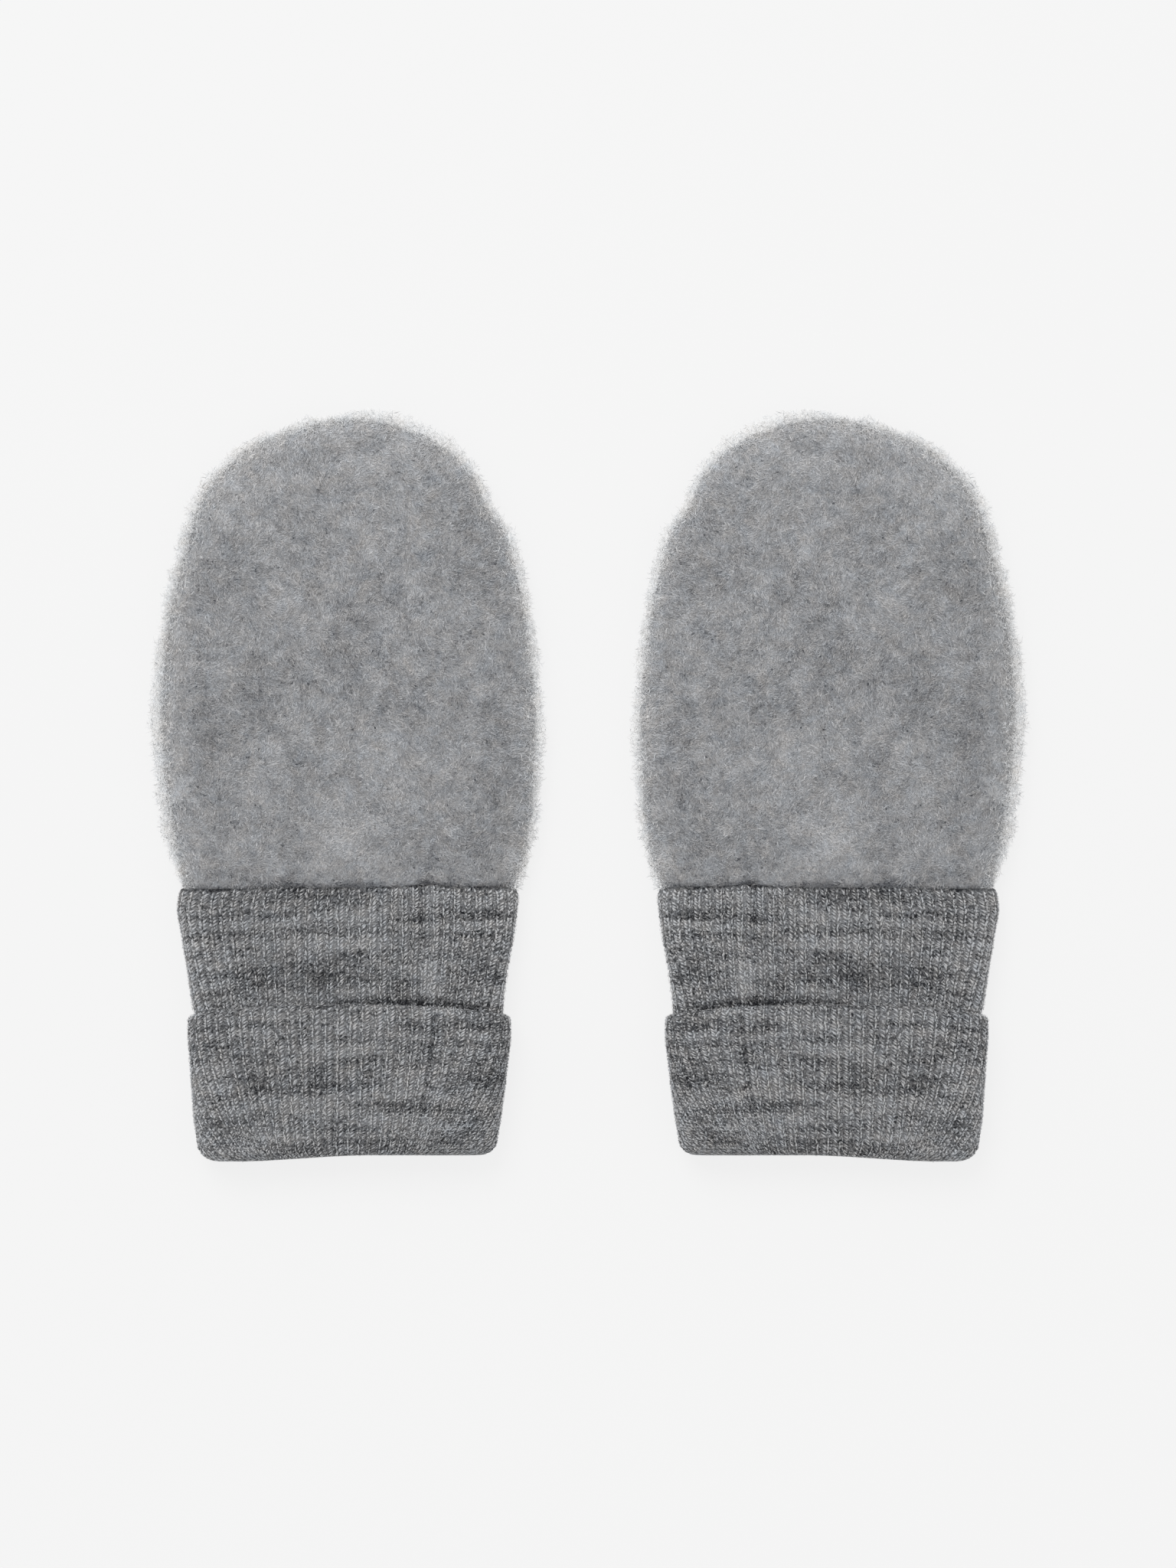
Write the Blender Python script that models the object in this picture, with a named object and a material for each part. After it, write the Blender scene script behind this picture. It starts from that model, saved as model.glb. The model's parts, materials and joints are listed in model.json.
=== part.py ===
# A pair of baby mittens laid flat on a table, seen from above with the fingertips towards +Y.
# Each mitten is a thumbless bag of brushed wool fleece, cut as a front and a back,
# sewn to a doubled rib-knit cuff that is turned up once.
# All sizes below are in millimetres, in one mitten's own frame: x = 0 on its middle line,
# y = 0 at the seam between fleece and cuff, z = 0 on the table.

import math
from collections import namedtuple

import bmesh
import bpy

MM = 0.001

# The pair
PAIR_PITCH = 92.0  # between the middle lines of the two mittens
SEAM_GAP = 0.3  # left between two pieces that are sewn together

# Fleece front and back
FLEECE_WALL = 3.0  # brushed fleece with its nap
SIDE_SEAM_HEIGHT = 3.4  # of the seam that joins front and back, above the table
FRONT_ROUND = 12.0  # from the side seam in to where the front is level
BACK_ROUND = 6.0  # from the side seam in to where the back lies on the table
FOCUS_Y = 55.0  # where the fan of sections over the fingertips meets
FLEECE_ROWS = 30  # sections from the cuff seam up to the tip
ROW_CROWDING = 1.2  # over 1 brings the sections closer together at the cuff seam
COLUMN_SHARES = (0.0, 0.03, 0.09, 0.17, 0.27, 0.38, 0.5, 0.65, 0.82, 1.0)  # seam to middle line
MIDDLE = len(COLUMN_SHARES) - 1

# Rib cuff
RIB_WALL = 2.0  # two layers of rib knit, because the cuff is doubled
TURN_UP_GAP = 0.4  # air between the turn-up and the cuff inside it
FRONT_RIBS = 34  # ribs over the upper side, from one side fold to the other
RIB_RISE = 0.35  # how far a rib stands above the furrow beside it
TURN_UP_SPREAD = 0.25  # how much further apart the ribs lie in the middle of the turn-up
END_ROUND = 4.5  # how far in from the side fold the flattened tube becomes level
UNDER_SHARES = (0.96, 0.92, 0.88, 0.7, 0.5, 0.3, 0.12, 0.08, 0.04)  # round the plain underside
TURN_UP_TOP = -22.3  # the upper edge of the turn-up, at the middle
TURN_UP_BOW = 2.3  # how much lower that edge is at the sides
BOW_POWER = 2.5  # over 2 keeps the middle of that edge nearly straight
EDGE_DEGREES = (150, 90, 30)  # round that edge, from its inner side to its outer
TURN_UP_SHARES = (0.08, 0.3, 0.6, 0.9)  # rows down the outside of the turn-up
FOLD_LEFT = -52.4  # the lower fold at the outer side of the pair
FOLD_RIGHT = -51.2  # the lower fold at the inner side
FOLD_SLOPE_START = 0.1  # share of the width where the fold starts to rise, over half the width
FOLD_FACETS = 4  # round the lower fold
TUBE_ROWS = (-SEAM_GAP, -2.5, -5.0, -9.5, -14.5, -19.0)  # where the cuff shows above the turn-up
INSIDE_ROWS = (-43.0, -26.0, -24.8, -14.7, -4.6, -SEAM_GAP)  # up the inside, to the cuff seam

# The outline of the fleece as far as its nap reaches, from the cuff seam at the left,
# over the fingertips, to the cuff seam at the right.
OutlinePoint = namedtuple("OutlinePoint", "x y")
OUTLINE = [
    OutlinePoint(-32.7, 0.0),
    OutlinePoint(-35.2, 11.0),
    OutlinePoint(-36.9, 25.0),
    OutlinePoint(-37.3, 38.0),
    OutlinePoint(-36.2, 49.5),
    OutlinePoint(-34.2, 59.5),
    OutlinePoint(-31.4, 70.0),
    OutlinePoint(-28.4, 77.0),
    OutlinePoint(-24.2, 82.0),
    OutlinePoint(-19.0, 85.8),
    OutlinePoint(-12.8, 88.4),
    OutlinePoint(-6.5, 90.3),
    OutlinePoint(0.5, 91.3),
    OutlinePoint(6.8, 90.9),
    OutlinePoint(13.0, 88.8),
    OutlinePoint(19.0, 85.7),
    OutlinePoint(24.0, 81.0),
    OutlinePoint(26.3, 76.6),
    OutlinePoint(27.7, 73.4),
    OutlinePoint(30.3, 70.2),
    OutlinePoint(32.2, 64.8),
    OutlinePoint(34.9, 53.5),
    OutlinePoint(36.6, 40.0),
    OutlinePoint(37.1, 29.0),
    OutlinePoint(36.4, 15.0),
    OutlinePoint(35.0, 6.0),
    OutlinePoint(32.8, 0.0),
]
TIP = 12  # the point of OUTLINE at the fingertips

# How high the front stands above the table along the middle line.
CrestRow = namedtuple("CrestRow", "y top")
CREST = [
    CrestRow(0.0, 6.9),
    CrestRow(2.0, 7.5),
    CrestRow(6.0, 7.9),
    CrestRow(16.0, 8.2),
    CrestRow(60.0, 8.3),
    CrestRow(92.0, 7.8),
]

# The soft creases of the front: where each lies, how its length is turned, and how far it rises.
Crease = namedtuple("Crease", "x y degrees length width rise")
CREASES = [
    Crease(22.5, 21.5, 10.0, 15.0, 5.0, 0.45),
    Crease(27.5, 9.5, -32.0, 13.0, 6.0, -0.6),
    Crease(24.0, 39.0, -5.0, 15.0, 6.0, -0.4),
    Crease(16.5, 61.0, -8.0, 13.0, 6.0, 0.35),
    Crease(6.0, 77.0, 0.0, 12.0, 5.0, 0.35),
    Crease(-3.5, 9.0, 100.0, 15.0, 9.0, 0.5),
    Crease(-24.0, 67.5, 48.0, 14.0, 8.0, 0.4),
    Crease(-20.0, 27.0, 20.0, 17.0, 8.0, -0.35),
]

# Sections of the flattened cuff: its side folds, its underside and its upper side.
Section = namedtuple("Section", "y left right base top")
TUBE = [
    Section(-52.5, -25.6, 25.4, 2.4, 7.4),
    Section(-45.0, -27.3, 27.0, 2.4, 7.5),
    Section(-36.0, -28.0, 28.0, 2.4, 7.6),
    Section(-26.0, -28.5, 28.8, 2.4, 7.5),
    Section(-24.8, -29.4, 29.7, 2.4, 7.5),
    Section(-23.3, -30.0, 29.9, 2.3, 7.4),
    Section(-20.0, -30.5, 30.1, 2.0, 7.3),
    Section(-14.7, -31.3, 30.9, 1.4, 7.2),
    Section(-9.5, -32.2, 31.9, 0.8, 7.1),
    Section(-4.6, -33.1, 32.6, 0.3, 7.0),
    Section(-2.0, -32.9, 32.8, 0.1, 6.8),
    Section(0.0, -32.6, 32.8, 0.0, 6.4),
]
TURN_UP = [
    Section(-52.5, -28.0, 27.8, 0.0, 9.8),
    Section(-50.0, -29.1, 28.5, 0.0, 9.9),
    Section(-45.0, -29.8, 29.4, 0.0, 10.0),
    Section(-36.0, -30.4, 30.5, 0.0, 10.0),
    Section(-29.0, -30.9, 31.3, 0.0, 10.0),
    Section(-22.0, -30.9, 31.3, 0.0, 10.0),
]

FINISHES = {
    "fleece": {"colour": (0.278, 0.281, 0.288, 1.0), "roughness": 0.95},
    "rib_knit": {"colour": (0.178, 0.182, 0.189, 1.0), "roughness": 0.9},
}


def clear_scene():
    for item in list(bpy.data.objects):
        bpy.data.objects.remove(item, do_unlink=True)


def make_material(name):
    finish = FINISHES[name]
    material = bpy.data.materials.new(name)
    material.use_nodes = True
    shader = material.node_tree.nodes["Principled BSDF"]
    shader.inputs["Base Color"].default_value = finish["colour"]
    shader.inputs["Roughness"].default_value = finish["roughness"]
    shader.inputs["Metallic"].default_value = 0.0
    return material


def mix(a, b, share):
    return a + (b - a) * share


def smooth_share(share):
    """0 to 1, level at both ends."""
    share = min(max(share, 0.0), 1.0)
    return share * share * (3.0 - 2.0 * share)


def quarter_round(share):
    """Rises from 0 to 1 as a quarter circle does, and stays at 1."""
    share = min(max(share, 0.0), 1.0)
    return math.sqrt(1.0 - (1.0 - share) ** 2)


def curve_value(before, a, b, after, share):
    """Catmull-Rom between a and b."""
    slope_a = (b - before) / 2.0
    slope_b = (after - a) / 2.0
    square, cube = share**2, share**3
    return (
        a * (2 * cube - 3 * square + 1)
        + slope_a * (cube - 2 * square + share)
        + b * (3 * square - 2 * cube)
        + slope_b * (cube - square)
    )


def outline_at(place):
    """The point of the outline at a place counted in OUTLINE's own points, 0 being the first."""
    last = len(OUTLINE) - 1
    start = min(int(place), last - 1)
    near = [OUTLINE[min(max(start + step, 0), last)] for step in (-1, 0, 1, 2)]
    share = place - start
    return tuple(curve_value(*[point[axis] for point in near], share) for axis in (0, 1))


def look_up(table, column, y):
    """A column of a table at height y, straight between its rows, which go up."""
    if y <= table[0].y:
        return getattr(table[0], column)
    for low, high in zip(table, table[1:]):
        if y <= high.y:
            share = (y - low.y) / (high.y - low.y)
            return mix(getattr(low, column), getattr(high, column), share)
    return getattr(table[-1], column)


def crease_rise(x, y):
    """How far the creases lift the front here: each is a long soft mound or trough."""
    rise = 0.0
    for crease in CREASES:
        turn = math.radians(crease.degrees)
        along = (x - crease.x) * math.cos(turn) + (y - crease.y) * math.sin(turn)
        across = (y - crease.y) * math.cos(turn) - (x - crease.x) * math.sin(turn)
        spread = (2 * along / crease.length) ** 2 + (2 * across / crease.width) ** 2
        rise += crease.rise * math.exp(-spread)
    return rise


def front_height(x, y, inset, wall):
    """Height of the front's outside, or of its inside with a wall, at a distance in from the side seam."""
    seam = SIDE_SEAM_HEIGHT + SEAM_GAP / 2
    level = look_up(CREST, "top", y) - wall
    if not wall:
        level += crease_rise(x, y)
    return mix(seam, level, quarter_round(inset / FRONT_ROUND))


def back_height(_x, _y, inset, wall):
    """Height of the back's outside, or of its inside with a wall, at a distance in from the side seam."""
    seam = SIDE_SEAM_HEIGHT - SEAM_GAP / 2
    return mix(seam, wall, quarter_round(inset / BACK_ROUND))


def fleece_row(row, height, wall):
    """Points of one section of a panel, from the left side seam over the middle line to the right."""
    climb = (row / FLEECE_ROWS) ** ROW_CROWDING
    last = len(OUTLINE) - 1
    left = outline_at(TIP * climb)
    right = outline_at(last - (last - TIP) * climb)
    middle_y = min((left[1] + right[1]) / 2, FOCUS_Y)
    points = []
    for column in range(2 * MIDDLE + 1):
        edge = left if column <= MIDDLE else right
        share = COLUMN_SHARES[MIDDLE - abs(column - MIDDLE)]
        length = math.hypot(edge[0], edge[1] - middle_y)
        reach = mix(wall, length, share) / length  # the inside starts one wall in from the seam
        x = edge[0] * (1.0 - reach)
        y = mix(edge[1], middle_y, reach)
        points.append((x, y, height(x, y, share * length, wall)))
    return points


def fleece_mesh(height):
    """A panel as a closed wall: its outside, its inside, the seam edge and the end at the cuff."""
    mesh = bmesh.new()
    skins = []
    for wall in (0.0, FLEECE_WALL):
        rows = [fleece_row(row, height, wall) for row in range(FLEECE_ROWS + 1)]
        skins.append([[mesh.verts.new(point) for point in row] for row in rows])
    for rows in skins:
        for low, high in zip(rows, rows[1:]):
            for column in range(2 * MIDDLE):
                mesh.faces.new((low[column], low[column + 1], high[column + 1], high[column]))
    outside, inside = skins
    for column in (0, 2 * MIDDLE):
        for row in range(FLEECE_ROWS):
            outer = outside[row][column], outside[row + 1][column]
            inner = inside[row + 1][column], inside[row][column]
            mesh.faces.new((*outer, *inner))
    for column in range(2 * MIDDLE):
        outer = outside[0][column], outside[0][column + 1]
        inner = inside[0][column + 1], inside[0][column]
        mesh.faces.new((*outer, *inner))
    weld(mesh)
    return mesh


def weld(mesh):
    """Joins points that fall together, as at the tip, and turns every face outwards."""
    bmesh.ops.remove_doubles(mesh, verts=mesh.verts, dist=0.001)
    bmesh.ops.dissolve_degenerate(mesh, edges=mesh.edges, dist=0.001)
    bmesh.ops.recalc_face_normals(mesh, faces=mesh.faces)


def cuff_stations():
    """Places round the flattened tube, left to right over the upper side, where a furrow and a rib
    take turns, and back along the underside."""
    steps = 2 * FRONT_RIBS
    over = [{"share": step / steps, "upper": True, "furrow": step % 2 == 0} for step in range(steps + 1)]
    under = [{"share": share, "upper": False, "furrow": False} for share in UNDER_SHARES]
    return over + under


def section_point(table, y, station, depth):
    """A point of the flattened tube at height y, a depth in from its surface. The section is level
    above and below, with an elliptical quarter at each corner."""
    left, right = look_up(table, "left", y) + depth, look_up(table, "right", y) - depth
    base, top = look_up(table, "base", y) + depth, look_up(table, "top", y) - depth
    half_width, half_height = (right - left) / 2, (top - base) / 2
    corner = max(END_ROUND - depth, half_height)
    quarter = math.pi / 2 * math.sqrt((corner**2 + half_height**2) / 2)
    length = 2 * (half_width - corner + quarter)
    share = station["share"]
    if table is TURN_UP:
        share -= TURN_UP_SPREAD * math.sin(2 * math.pi * share) / (2 * math.pi)
    travel = min(share, 1.0 - share) * length  # from the nearer side fold
    if travel < quarter:
        angle = travel / quarter * math.pi / 2
        inset, z = corner * (1 - math.cos(angle)), half_height * math.sin(angle)
    else:
        inset, z = corner + travel - quarter, half_height
    x = left + inset if share < 0.5 else right - inset
    return x, y, (base + top) / 2 + (z if station["upper"] else -z)


def cuff_profile(across):
    """The cloth's path as closed stops (y, table, depth, ribbed): down the outside of the cuff, into
    the crook of the turn-up, up its inside, over its edge, down its outside, round the lower fold and
    up inside the mitten. across is 0 at the left side fold and 1 at the right."""
    edge = TURN_UP_TOP - TURN_UP_BOW * abs(2 * across - 1) ** BOW_POWER
    fold = mix(FOLD_LEFT, FOLD_RIGHT, smooth_share(2 * (across - FOLD_SLOPE_START)))
    crook = fold + RIB_WALL
    path = [(y, TUBE, 0.0, True) for y in (*TUBE_ROWS, edge + TURN_UP_GAP)]
    path += [(y, TUBE, 0.0, False) for y in (edge - RIB_WALL, mix(edge, fold, 0.5), crook + TURN_UP_GAP)]
    path.append((crook, TURN_UP, RIB_WALL + TURN_UP_GAP / 2, False))
    path += [(y, TURN_UP, RIB_WALL, False) for y in (crook + TURN_UP_GAP, edge - RIB_WALL)]
    for degrees in EDGE_DEGREES:
        angle = math.radians(degrees)
        y = edge - RIB_WALL / 2 * (1 - math.sin(angle))
        path.append((y, TURN_UP, RIB_WALL / 2 * (1 - math.cos(angle)), True))
    radius = RIB_WALL + TURN_UP_GAP / 2
    path += [(mix(edge, fold + radius, share), TURN_UP, 0.0, True) for share in TURN_UP_SHARES]
    for facet in range(FOLD_FACETS + 1):
        angle = math.pi * facet / FOLD_FACETS
        y = fold + radius * (1 - math.sin(angle))
        path.append((y, TURN_UP, radius * (1 - math.cos(angle)), facet < FOLD_FACETS))
    path += [(y, TUBE, RIB_WALL, False) for y in INSIDE_ROWS]
    return path


def cuff_mesh():
    """The cuff as a closed ring of the profile, carried round the flattened tube."""
    mesh = bmesh.new()
    rings = []
    for station in cuff_stations():
        ring = []
        for y, table, depth, ribbed in cuff_profile(station["share"]):
            furrow = RIB_RISE if ribbed and station["furrow"] else 0.0
            ring.append(mesh.verts.new(section_point(table, y, station, depth + furrow)))
        rings.append(ring)
    for ring, following in zip(rings, rings[1:] + rings[:1]):
        for index in range(len(ring)):
            onward = (index + 1) % len(ring)
            mesh.faces.new((ring[index], ring[onward], following[onward], following[index]))
    weld(mesh)
    return mesh


def place(mesh, name, material, side, middle_y):
    """Makes a node of a left mitten's piece, mirrored for the right one, in metres in the pair's frame."""
    for vertex in mesh.verts:
        x = vertex.co.x - PAIR_PITCH / 2
        vertex.co = ((x if side == "left" else -x) * MM, (vertex.co.y - middle_y) * MM, vertex.co.z * MM)
    if side == "right":
        bmesh.ops.reverse_faces(mesh, faces=mesh.faces)
    data = bpy.data.meshes.new(name)
    mesh.to_mesh(data)
    mesh.free()
    data.materials.append(material)
    data.shade_smooth()
    node = bpy.data.objects.new(name, data)
    bpy.context.scene.collection.objects.link(node)


def main():
    clear_scene()
    fleece, rib_knit = make_material("fleece"), make_material("rib_knit")
    middle_y = (OUTLINE[TIP].y + FOLD_LEFT) / 2
    for side in ("left", "right"):
        place(fleece_mesh(front_height), f"{side}_front", fleece, side, middle_y)
        place(fleece_mesh(back_height), f"{side}_back", fleece, side, middle_y)
        place(cuff_mesh(), f"{side}_cuff", rib_knit, side, middle_y)


main()
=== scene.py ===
# A pair of baby mittens in grey wool, laid flat on a pale table and seen from straight above.
# Shapes are worked out in millimetres in a left mitten's own frame: x = 0 on its middle line,
# y = 0 at the seam between fleece and cuff with the fingertips towards +y, z = 0 on the table.
# The right mitten is the left one mirrored.

import json

import bpy
import numpy as np
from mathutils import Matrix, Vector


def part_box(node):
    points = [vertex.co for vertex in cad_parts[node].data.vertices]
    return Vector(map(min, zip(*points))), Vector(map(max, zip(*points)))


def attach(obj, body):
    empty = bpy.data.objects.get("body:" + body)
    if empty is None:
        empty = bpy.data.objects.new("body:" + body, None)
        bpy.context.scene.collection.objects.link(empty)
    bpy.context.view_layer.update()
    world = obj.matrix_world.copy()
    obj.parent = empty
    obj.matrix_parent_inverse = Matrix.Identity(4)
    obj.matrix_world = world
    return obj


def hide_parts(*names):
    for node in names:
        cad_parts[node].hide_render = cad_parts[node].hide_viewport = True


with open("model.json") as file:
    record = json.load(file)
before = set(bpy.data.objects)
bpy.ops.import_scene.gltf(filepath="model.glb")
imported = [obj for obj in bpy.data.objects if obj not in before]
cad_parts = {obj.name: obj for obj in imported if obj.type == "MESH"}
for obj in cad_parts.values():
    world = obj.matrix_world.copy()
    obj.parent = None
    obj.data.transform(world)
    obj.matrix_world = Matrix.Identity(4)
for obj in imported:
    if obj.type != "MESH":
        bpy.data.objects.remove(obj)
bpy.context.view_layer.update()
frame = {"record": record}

mm = 0.001
restLeft = next(mount for mount in frame["record"]["mounts"] if mount["name"] == "rest_left")
middleX = restLeft["pos_m"][0] / mm  # row x of the left mitten's middle line
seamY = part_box("left_front")[0].y / mm  # row y of the seam between fleece and cuff
totals = dict(triangles=0)


# Blender helpers

def fill(node, values):
    for socket, value in values.items():
        node.inputs[socket].default_value = value


def placed(name, data):
    made = bpy.data.objects.new(name, data)
    bpy.context.scene.collection.objects.link(made)
    return made


# View and light

view = dict(
    frameHeight=301.0,  # millimetres of table from the top of the picture to its foot
    centreY=0.44,
    lens=120.0,
    sensor=36.0,
    focusHeight=5.0,  # above the table, where the picture has its stated height
    floorSize=6000.0,
    floorGap=0.05,  # from the floor up to the pair
    floorGlow=0.80,
    floorShade=0.12,
    skyLight=0.66,
    keyPower=7.5,
    keySize=900.0,
    keyPlace=(-350.0, 750.0, 1100.0),
)


def buildView():
    # The distance at which the long side of the sensor takes in the frame's height
    distance = view["frameHeight"] * view["lens"] / view["sensor"]
    camera = placed("camera", bpy.data.cameras.new("camera"))
    camera.data.lens = view["lens"]
    camera.data.sensor_width = view["sensor"]
    camera.data.clip_start = 0.05
    camera.data.clip_end = 20.0
    camera.location = (0.0, view["centreY"] * mm, (distance + view["focusHeight"]) * mm)
    bpy.context.scene.camera = camera

    lamp = bpy.data.lights.new("key", "AREA")
    lamp.shape = "DISK"
    lamp.size = view["keySize"] * mm
    lamp.energy = view["keyPower"]
    key = placed("key", lamp)
    key.location = [place * mm for place in view["keyPlace"]]
    key.rotation_euler = key.location.to_track_quat("Z", "Y").to_euler()

    sky = bpy.data.worlds.new("sky")
    sky.use_nodes = True
    fill(sky.node_tree.nodes["Background"], {"Color": (1.0, 1.0, 1.0, 1.0), "Strength": view["skyLight"]})
    bpy.context.scene.world = sky
    bpy.context.scene.view_settings.view_transform = "Standard"


def buildFloor():
    # A level square that is pale by its own faint glow, so that the pair casts almost no shadow
    half = view["floorSize"] * mm / 2
    below = -view["floorGap"] * mm
    mesh = bpy.data.meshes.new("floor")
    corners = [(-half, -half, below), (half, -half, below), (half, half, below), (-half, half, below)]
    mesh.from_pydata(corners, [], [(0, 1, 2, 3)])
    paint = bpy.data.materials.new("floor")
    paint.use_nodes = True
    shade = view["floorShade"]
    fill(paint.node_tree.nodes["Principled BSDF"], {
        "Base Color": (shade, shade, shade, 1.0), "Roughness": 1.0, "Specular IOR Level": 0.0,
        "Emission Color": (1.0, 1.0, 1.0, 1.0), "Emission Strength": view["floorGlow"],
    })
    mesh.materials.append(paint)
    placed("floor", mesh)


# Whole-array helpers

def mix(a, b, share):
    return a + (b - a) * share


def smoothShare(share):
    # 0 to 1, level at both ends
    share = np.clip(share, 0.0, 1.0)
    return share * share * (3.0 - 2.0 * share)


def quarterRound(share):
    # Rises from 0 to 1 as a quarter circle does, and stays at 1
    return np.sqrt(1.0 - (1.0 - np.clip(share, 0.0, 1.0)) ** 2)


def unit(arrows):
    return arrows / np.maximum(np.linalg.norm(arrows, axis=-1, keepdims=True), 1e-9)


def softNoise(x, y, size, seed):
    # Random levels from -1 to 1 on a square lattice of this size, blended smoothly between its points
    count = 128
    levels = np.random.default_rng(seed).uniform(-1.0, 1.0, (count, count))
    column, row = x / size + count / 2, y / size + count / 2
    left, low = np.floor(column).astype(int), np.floor(row).astype(int)
    across, up = smoothShare(column - left), smoothShare(row - low)
    near = [levels[(low + j) % count, (left + i) % count] for j in (0, 1) for i in (0, 1)]
    return mix(mix(near[0], near[1], across), mix(near[2], near[3], across), up)


def bell(value, width):
    # 1 at 0, and 1/e at the width on both sides
    return np.exp(-((value / width) ** 2))


def noiseSum(x, y, layers):
    # Layers of soft noise, each with its size, seed and strength
    return sum(strength * softNoise(x, y, size, seed) for size, seed, strength in layers)


def softMarks(x, y, marks):
    # Sum of long soft mounds: strength times exp of minus the squares of the shares of half length and
    # half width
    total = np.zeros(np.broadcast(x, y).shape)
    for markX, markY, degrees, length, width, strength in marks:
        turn = np.radians(degrees)
        along = (x - markX) * np.cos(turn) + (y - markY) * np.sin(turn)
        across = (y - markY) * np.cos(turn) - (x - markX) * np.sin(turn)
        total = total + strength * np.exp(-((2 * along / length) ** 2) - (2 * across / width) ** 2)
    return total


def ringFaces(rings, columns):
    # Quads between neighbouring rings of points that are numbered ring by ring, and from the last ring
    # on to the first
    ring, column = np.meshgrid(np.arange(rings), np.arange(columns), indexing="ij")
    onward = (column + 1) % columns
    low, high = ring * columns, (ring + 1) % rings * columns
    return np.stack([low + column, low + onward, high + onward, high + column], axis=-1).reshape(-1, 4)


def joined(blocks):
    # Blocks of points, faces and values for each point as one block, whose faces are numbered on
    starts = np.cumsum([0] + [len(block[0]) for block in blocks])
    faces = np.concatenate([block[1] + start for block, start in zip(blocks, starts)])
    points, *values = (np.concatenate(part) for number, part in enumerate(zip(*blocks)) if number != 1)
    return points, faces, *values


def makePiece(name, side, points, faces, material, tone, cell, facing=None):
    # A mesh in the row frame, in metres: x, y and z for each point, point numbers for each face,
    # a tone for each point, and each point's place on the piece's own map. facing gives fibres the
    # directions of the cloth that they lie on, so that they take the light softly, as cloth does.
    x = points[:, 0] + middleX
    place = np.stack([x if side == "left" else -x, points[:, 1] + seamY, points[:, 2]], axis=1) * mm
    faces = faces if side == "left" else faces[:, ::-1]
    mesh = bpy.data.meshes.new(name)
    mesh.from_pydata(place.tolist(), [], faces.tolist())
    mesh.attributes.new("tone", "FLOAT", "POINT").data.foreach_set("value", tone.astype(np.float32))
    ownMap = mesh.uv_layers.new(name="OFBake")
    ownMap.uv.foreach_set("vector", cell[faces.ravel()].astype(np.float32).ravel())
    mesh.materials.append(material)
    mesh.shade_smooth()
    mesh.validate()
    if facing is not None:
        turned = facing if side == "left" else facing * np.array([-1.0, 1.0, 1.0])
        mesh.normals_split_custom_set_from_vertices(turned.tolist())
    piece = placed(name, mesh)
    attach(piece, "root")
    count = len(faces) * (faces.shape[1] - 2)
    totals["triangles"] += count
    print(f"{name}: {count} triangles")
    return piece


def patchMap(count, shape):
    # A square sheet of small cells, one for each of count equal patches: shape is a patch's own points,
    # 0 to 1 each way, kept off the rim of its cell
    across = int(np.ceil(np.sqrt(count)))
    number = np.arange(count)
    corner = np.stack([number % across, number // across], axis=1)
    return ((corner[:, None] + mix(0.2, 0.8, np.array(shape))[None]) / across).reshape(-1, 2)


# Finishes

wool = dict(
    fleece=dict(dark=(0.060, 0.063, 0.072), light=(0.660, 0.666, 0.680), fleck=0.35, fleckSize=0.30,
                roughness=0.95, sheen=0.25, bump=0.35),
    nap=dict(dark=(0.045, 0.048, 0.057), light=(0.672, 0.678, 0.692), fleck=0.42, fleckSize=0.32,
             roughness=0.9, sheen=0.3, bump=0.0),
    # litFuzz: paler than the nap, with painted light of the table coming through the loose hairs
    litFuzz=dict(dark=(0.08, 0.083, 0.092), light=(0.94, 0.945, 0.95), fleck=0.15, fleckSize=0.6,
              roughness=0.9, sheen=0.3, bump=0.0),
    # shadedRibGround: the ground between the stitches, painted dark as the shade between them
    shadedRibGround=dict(dark=(0.013, 0.014, 0.017), light=(0.25, 0.253, 0.26), fleck=1.8, fleckSize=0.5,
                   roughness=0.95, sheen=0.05, bump=0.3),
    yarn=dict(dark=(0.036, 0.039, 0.046), light=(0.600, 0.608, 0.623), fleck=1.1, fleckSize=0.24,
              roughness=0.85, sheen=0.2, bump=0.25),
)
patchHue = dict(size=3.5, cool=(0.962, 1.0, 1.038), warm=(1.042, 1.0, 0.955))  # of every wool


def addNode(tree, kind, values={}, **settings):
    made = tree.nodes.new(kind)
    for key, value in settings.items():
        setattr(made, key, value)
    fill(made, values)
    return made


def wire(tree, *links):
    # Each link is a node and its socket, and the node and the socket that it leads to
    for node, socket, onward, entry in links:
        tree.links.new(node.outputs[socket], onward.inputs[entry])


def newGroup(name, inputs, outputs):
    group = bpy.data.node_groups.new(name, "ShaderNodeTree")
    for label, kind, value in inputs:
        group.interface.new_socket(name=label, in_out="INPUT", socket_type=kind).default_value = value
    for label, kind in outputs:
        group.interface.new_socket(name=label, in_out="OUTPUT", socket_type=kind)
    return group, group.nodes.new("NodeGroupInput"), group.nodes.new("NodeGroupOutput")


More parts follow.
